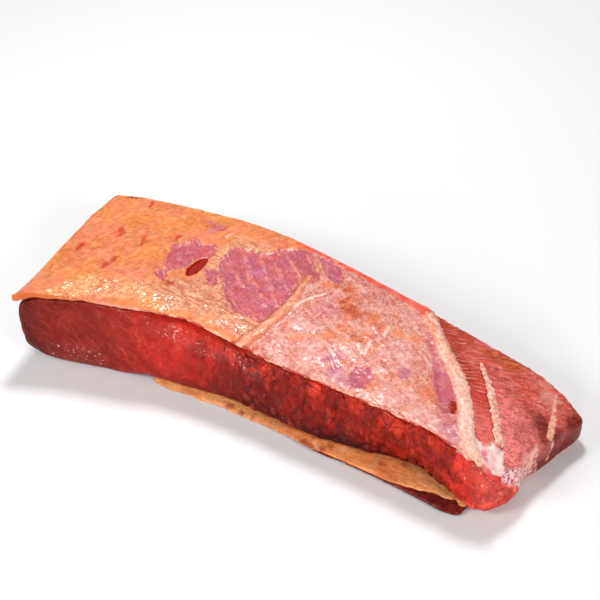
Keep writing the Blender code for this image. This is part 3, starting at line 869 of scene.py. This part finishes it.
def silverskin(kit):
    """Brown pink skin with pale threads, pinker at the front, with orange, milky and lilac clouds."""
    drift = kit.sum(kit.along("Y"), kit.times(kit.noise(16), 16))
    milky = kit.mix(kit.streaks(65, 7, 2.2, 0.4, 0.66), (230, 152, 148), (250, 204, 194))
    lilac = kit.mix(kit.streaks(62, 9, 3.2, 0.44, 0.64), (188, 98, 124), (230, 166, 176))
    film = kit.paint(
        (208, 104, 76),
        (kit.noise(18, 4), (202, 96, 82)),
        (kit.ease(drift, 36, 8), (210, 114, 96)),
        (kit.ease(kit.along("X"), 55, 25, 0, 0.45), (190, 88, 78)),
        (kit.noise(10, 5, 0.6, 0.5, 0.6, 0.6), (220, 118, 66)),
        (kit.noise(8, 4, 0.55, 0.46, 0.62, 0.5), (236, 160, 146)),
        (kit.streaks(FILM_ANGLE, 18, 3.6, 0.46, 0.64, 0.5), (244, 184, 164)),
        (kit.streaks(60, 9, 2, 0.55, 0.65, 0.45), (250, 204, 194)),
        (kit.noise(7, 4, 0.6, 0.58, 0.66, 0.5), (190, 92, 104)),
        (kit.streaks(FILM_ANGLE, 10, 2.2, 0.58, 0.74, 0.4), (200, 100, 112)),
        (kit.threads(-78, 14, 3, 0.022, 0.6), (252, 214, 206)),
        (kit.threads(FILM_ANGLE, 14, 3, 0.025, 0.5), (252, 206, 190)),
        (kit.threads(62, 12, 3.4, 0.022, 0.4), (250, 202, 196)),
        (kit.threads(-60, 9, 3, 0.02, 0.45), (184, 80, 76)),
        (kit.patch("orange_cloud", 6, 6, 3.5, 0.7), (226, 116, 70)),
        (kit.patch("white_cloud", 9, 8, 5, 0.5), milky),
        (kit.patch("lilac", 7, 7, 3, 0.8), lilac),
    )
    return kit.shade(film, kit.noise(2.2, 5, 0.6), 0.80, 1.06)


def window_purple(kit):
    """The purple of the meat that shows through, with lines of thin fat across it."""
    purple = kit.paint(
        (196, 84, 92),
        (kit.noise(11, 3), (176, 74, 104)),
        (kit.noise(6, 4, 0.55, 0.5, 0.66, 0.6), (200, 116, 136)),
        (kit.noise(8, 4, 0.55, 0.52, 0.66, 0.5), (176, 62, 72)),
        (kit.patch("violet", 7, 7, 4, 0.5), (170, 92, 144)),
        (kit.patch("brown_window", 5, 5, 3, 0.6), (164, 68, 62)),
    )
    purple = kit.shade(purple, kit.noise(1.8, 5, 0.6), 0.82, 1.16)
    specks = kit.times(kit.noise(1.3, 3, 0.6, 0.6, 0.7, 0.6), kit.noise(14, 3, 0.5, 0.45, 0.62))
    fat_lines = kit.times(kit.patch("window_line", 3, 5, 1), kit.noise(5, 3, 0.5, 0.38, 0.6, 0.65))
    return kit.paint(
        purple,
        (specks, (240, 170, 178)),
        (kit.streaks(WINDOW_LINE_ANGLE, 16, 1.1, 0.6, 0.72, 0.5), (236, 164, 140)),
        (fat_lines, (228, 150, 126)),
        (kit.threads(WINDOW_LINE_ANGLE + 12, 10, 2.4, 0.02, 0.5), (236, 158, 158)),
    )


def crossing_strand(kit):
    """The strand between the fat and the silverskin, darker at its edges and paler along its crest, as
    painted shade and highlight.
    """
    return kit.paint(
        (210, 112, 78),
        # painted highlight along the crest
        (kit.ease(kit.kept("strand"), 0.1, 1.5), (230, 150, 118)),
        (kit.noise(5, 4, 0.6, 0.45, 0.62, 0.55), (216, 116, 84)),
        (kit.streaks(48, 9, 3, 0.48, 0.66, 0.45), (254, 204, 170)),
        (kit.noise(2, 3, 0.5, 0.6, 0.68, 0.5), (255, 232, 206)),
    )


def seam_fat(kit):
    """The wide seam, brown at the back and pale pink at the front."""
    y = kit.along("Y")
    seam = kit.paint(
        (204, 98, 74),
        (kit.ease(y, 52, 26), (232, 144, 112)),
        (kit.ease(y, 26, -22), (243, 188, 170)),
        # painted shade on the seam's left side
        (kit.ease(kit.kept("seam_gap"), -1, -6, 0, 0.5), (226, 130, 104)),
        (kit.noise(5, 4, 0.55, 0.45, 0.7, 0.5), (236, 156, 124)),
        (kit.noise(2.4, 3, 0.5, 0.54, 0.64, 0.35), (255, 232, 214)),
        (kit.streaks(-45, 14, 2.2, 0.48, 0.64, 0.5), (255, 230, 214)),
        (kit.threads(-48, 18, 3.4, 0.025, 0.4), (222, 128, 108)),
        (kit.threads(GRAIN_ANGLE, 5, 2, 0.04, 0.5), (255, 228, 212)),
    )
    return kit.shade(seam, kit.noise(1.8, 4, 0.6), 0.88, 1.1)


def cap_colour(kit):
    """Yellow fat at the left, peach round the windows, pink silverskin at the right, purple windows."""
    x = kit.along("X")
    rim = kit.mix(kit.noise(6), (226, 54, 46), (244, 112, 90))
    on_fat = kit.ease(x, 60, 45)
    edge = kit.times(kit.patch("window", 6, 6, 0.9, on_fat, 1.6), kit.noise(3, 4, 0.6, 0.5, 0.6, 0.7))
    depth = kit.kept("window")
    teeth = kit.times(kit.streaks(WINDOW_LINE_ANGLE, 7, 1.8, 0.54, 0.6, 0.7),
                      kit.ease(depth, 5, 0.5), kit.ease(depth, -3, -1), on_fat)
    stain = kit.paint(
        (174, 58, 84),
        (kit.noise(4, 4, 0.6), (208, 120, 122)),
        (kit.threads(60, 9, 2.6, 0.03, 0.5), (240, 176, 170)),
    )
    patchy = kit.noise(6, 4, 0.6, 0.32, 0.5, 0.85)
    # Painted shade: the valley left of the wide seam is painted a darker mauve, with pale threads of skin
    # in it.
    valley = kit.paint(
        (176, 72, 88),
        (kit.noise(5, 4, 0.6), (206, 112, 116)),
        (kit.threads(-20, 9, 3, 0.03, 0.5), (236, 176, 172)),
    )
    in_valley = kit.times(kit.patch("valley", 3.5, 6, 1.8, wider=0.9), patchy)
    brown = kit.mix(kit.noise(2.4), (140, 44, 24), (216, 100, 52))
    shadow = kit.times(kit.ease(kit.kept("strand_foot"), 0, 1.2, 0, 0.6),
                       kit.noise(5, 4, 0.6, 0.35, 0.55))
    bare = kit.times(kit.noise(7, 4, 0.6, 0.44, 0.52), kit.ease(x, -110, -50))
    # The cap's front side: painted shade under the roll at the left, a pale line of fat further right, and
    # the lean's red in places.
    line = kit.paint(
        (206, 100, 46),
        (kit.ease(x, -125, -80), (242, 178, 146)),
        (bare, (186, 56, 42)),
    )
    return kit.paint(
        yellow_fat(kit),
        (kit.patch("peach", 9, 12, 5), peach_fat(kit)),
        (kit.patch("fat_end", 6, 9, 4), silverskin(kit)),
        (kit.patch("rim", 3.5, 7, 1.2, 0.85), rim),
        (edge, (248, 190, 138)),
        (kit.patch("window", 7, 8, 0.8, 0.92, 0.9), window_purple(kit)),
        (teeth, (240, 178, 138)),
        (kit.times(kit.patch("stain", 7, 6, 2.4), patchy), stain),
        # painted shade in the valley
        (in_valley, valley),
        (kit.patch("brown_spot", 6, 3.5, 1.2, 0.8), brown),
        (kit.patch("orange_line", 3.5, 5, 1.8, 0.7), (236, 144, 80)),
        # painted shadow beside the strand
        (shadow, (150, 64, 44)),
        (kit.patch("strand", 3.5, 5, 0.9), crossing_strand(kit)),
        (kit.patch("thin_strand", 1.5, 3, 0.9), (252, 214, 198)),
        (kit.patch("seam", 2.4, 3, 0.9), seam_fat(kit)),
        (kit.ease(kit.kept("dark_scrap"), -0.4, 0.4), (150, 22, 26)),
        # the front side, with painted shade at the left
        (kit.times(kit.kept("lip"), 0.9), line),
        (kit.patch("hole", 0.4, 2, 0.4),
         kit.mix(kit.noise(1.8, 2, 0.5, 0.5, 0.56), (150, 36, 24), (192, 84, 62))),
        (kit.patch("slit", 0.5, 2, 0.35), kit.shade((150, 22, 12), kit.noise(1.6), 0.85, 1.3)),
    )


finish(cap, cap_colour, grain=1.0, depth=0.18, roughness=0.42, coat=0.8)
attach(cap, "root")
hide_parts("fat_cap")

# The fat strand
# A narrow string of fat between two muscles, laid bare where the cap was cut away. It
# sits on the lean, and its sides are frayed by the ribs of the meat beside it.
STRAND_ROUNDING = 3
strand_piece = finer_copy("strand_fat", "fat_strand", STRAND_ROUNDING)
places, facing = points_of(strand_piece)
teeth = drawn_out(places, GRAIN_ANGLE, 7, 2.0)
push_out(strand_piece, places, facing, 0.4 * ripple(places, 2.2, 3.0) + 1.1 * teeth)
keep_on(strand_piece, wet=np.full(len(places), 0.4))


def strand_colour(kit):
    """Pale cream pink with whiter blots."""
    colour = kit.paint(
        (246, 196, 174),
        (kit.noise(3), (228, 140, 122)),
        (kit.noise(1.8, 3, 0.5, 0.54, 0.64, 0.7), (255, 232, 218)),
    )
    return kit.shade(colour, kit.noise(1.4, 4), 0.85, 1.12)


finish(strand_piece, strand_colour, grain=0.9, depth=0.15, roughness=0.4, coat=0.6)
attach(strand_piece, "root")
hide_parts("fat_strand")

# The fat sheet
# The fat between the thick lean and the flap below it. Its front edge stands out as a
# tan roll with wrinkles along it and a few red stains.
SHEET_VOXEL = 1.1
THIN_SETBACK = 0.1


def even_copy(name, node, voxel):
    """A copy of a CAD node with small even faces all over, its edges slightly rounded."""
    piece = finer_copy(name, node, 1)
    evener = piece.modifiers.new("even_faces", "REMESH")
    evener.mode = "VOXEL"
    evener.voxel_size = voxel * MM
    bpy.ops.object.modifier_apply(modifier=evener.name)
    return piece


sheet = even_copy("sheet_fat", "fat_sheet", SHEET_VOXEL)
places, facing = points_of(sheet)
SLICE = 8.0
slices = np.round(places[:, 0] / SLICE).astype(int)
edge_of = {s: places[slices == s, 1].min() for s in np.unique(slices)}
behind_edge = places[:, 1] - np.array([edge_of[s] for s in slices])
roll = ease(14, 5, behind_edge)
wrinkles = ripple(places, (22, 5, 2.2), 2.0) + 0.5 * ripple(places, (9, 4, 2.6), 6.0)
push_out(sheet, places, facing, roll * (0.5 * wrinkles + 0.35 * ripple(places, 7.0)) - THIN_SETBACK)
SHEET_STAINS = ((230, 407, 2), (240, 412, 2), (252, 418, 2), (380, 464, 2), (404, 465, 2), (302, 442, 3),
                (308, 447, 3), (320, 452, 3), (330, 446, 2))
# A painted highlight along one fold of the roll.
SHEET_STREAK = ((314, 441), (318, 449))
keep_on(
    sheet,
    wet=np.full(len(places), 0.1),
    # upper marks the roll's upward-facing front edge; elsewhere the finish paints shade.
    upper=ease(-0.3, 0.6, facing[:, 2]) * ease(8, 4, behind_edge),
    stain=spots(places, SHEET_STAINS),
    streak=band(places, 0.9, SHEET_STREAK),
)


def sheet_colour(kit):
    """Tan fat, a little paler at the right end, with lines along the roll and red stains; painted shade
    below and behind the roll's upper edge, and a painted highlight along one fold.
    """
    x = kit.along("X")
    tan = kit.paint(
        (250, 168, 106),
        (kit.ease(x, -20, 60), (252, 156, 92)),
        (kit.ease(x, 90, 125), (255, 186, 124)),
        # painted shade below and behind the roll's upper edge
        (kit.ease(kit.kept("upper"), 0.6, 0, 0, 0.35), (214, 112, 60)),
        (kit.noise(16, 4, 0.55, 0.45, 0.6, 0.45), (214, 104, 52)),
        (kit.streaks(4, 22, 3.6, 0.48, 0.64, 0.4, 1.2), (200, 104, 58)),
        (kit.threads(6, 24, 5, 0.025, 0.55, 1.5), (140, 60, 38)),
        (kit.noise(8, 4, 0.6, 0.5, 0.64, 0.3), (255, 204, 150)),
        (kit.streaks(6, 14, 3, 0.5, 0.66, 0.4), (176, 84, 50)),
        (kit.patch("stain", 6, 5, 1.6, 0.6), (150, 34, 28)),
        # painted highlight along the fold
        (kit.ease(kit.kept("streak"), -0.8, 0.8, 0, 0.45), (250, 200, 170)),
    )
    return kit.shade(tan, kit.noise(3, 4, 0.5), 0.9, 1.08)


finish(sheet, sheet_colour, grain=1.0, depth=0.2, roughness=0.45, coat=0.5)
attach(sheet, "root")
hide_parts("fat_sheet")

# The flap
# The thin dark flap of lean under the fat sheet, grown fast to it. The right half of the
# block lies on the flap.
FLAP_VOXEL = 1.2
flap = even_copy("flap_meat", "flap_lean", FLAP_VOXEL)
places, facing = points_of(flap)
flap_side = 1 - ease(0.5, 0.8, np.abs(facing[:, 2]))
push_out(flap, places, facing, flap_side * 0.3 * ripple(places, (5, 3, 2)) - THIN_SETBACK)
keep_on(flap, wet=np.full(len(places), 0.2))


def flap_colour(kit):
    """Dark brown red, in blots."""
    colour = kit.mix(kit.noise(5), (130, 42, 32), (94, 24, 22))
    return kit.shade(colour, kit.noise(1.5, 4), 0.7, 1.3)


finish(flap, flap_colour, grain=1.1, depth=0.2, roughness=0.42, coat=0.6)
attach(flap, "root")
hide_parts("flap_lean")

# The floor and the light
# A plain white floor. The strongest light stands over the back and the next at the front
# left. Two low ones reach the cut side, one comes from the right, and a little pale light
# comes from all round.
FLOOR_SIZE = 8.0
bpy.ops.object.select_all(action="DESELECT")
bpy.ops.mesh.primitive_plane_add(size=FLOOR_SIZE, location=(0, 0, 0))
floor = bpy.context.active_object
floor.name = "floor"
white = bpy.data.materials.new("floor")
white.use_nodes = True
shader = white.node_tree.nodes["Principled BSDF"]
shader.inputs["Base Color"].default_value = (0.85, 0.85, 0.85, 1)
shader.inputs["Roughness"].default_value = 0.9
floor.data.materials.append(white)


def soft_light(name, place, power, size):
    """A square area light that faces the meat."""
    lamp = bpy.data.lights.new(name, "AREA")
    lamp.energy, lamp.size = power, size
    item = bpy.data.objects.new(name, lamp)
    item.location = place
    item.rotation_euler = (Vector(place) - TARGET).to_track_quat("Z", "Y").to_euler()
    bpy.context.scene.collection.objects.link(item)


soft_light("key_light", (-0.45, -0.75, 0.60), power=5.0, size=0.25)
soft_light("back_light", (-0.30, 0.48, 1.05), power=9.0, size=0.22)
soft_light("low_light", (-0.50, -1.00, 0.20), power=1.2, size=0.12)
soft_light("corner_light", (0.55, -0.95, 0.30), power=2.1, size=0.14)
soft_light("side_light", (0.90, -0.35, 0.60), power=4.0, size=0.30)
world = bpy.data.worlds.new("pale_surroundings")
world.use_nodes = True
surroundings = world.node_tree.nodes["Background"]
surroundings.inputs["Color"].default_value = (1, 1, 1, 1)
surroundings.inputs["Strength"].default_value = 0.2
bpy.context.scene.world = world
bpy.context.scene.view_settings.view_transform = "Standard"
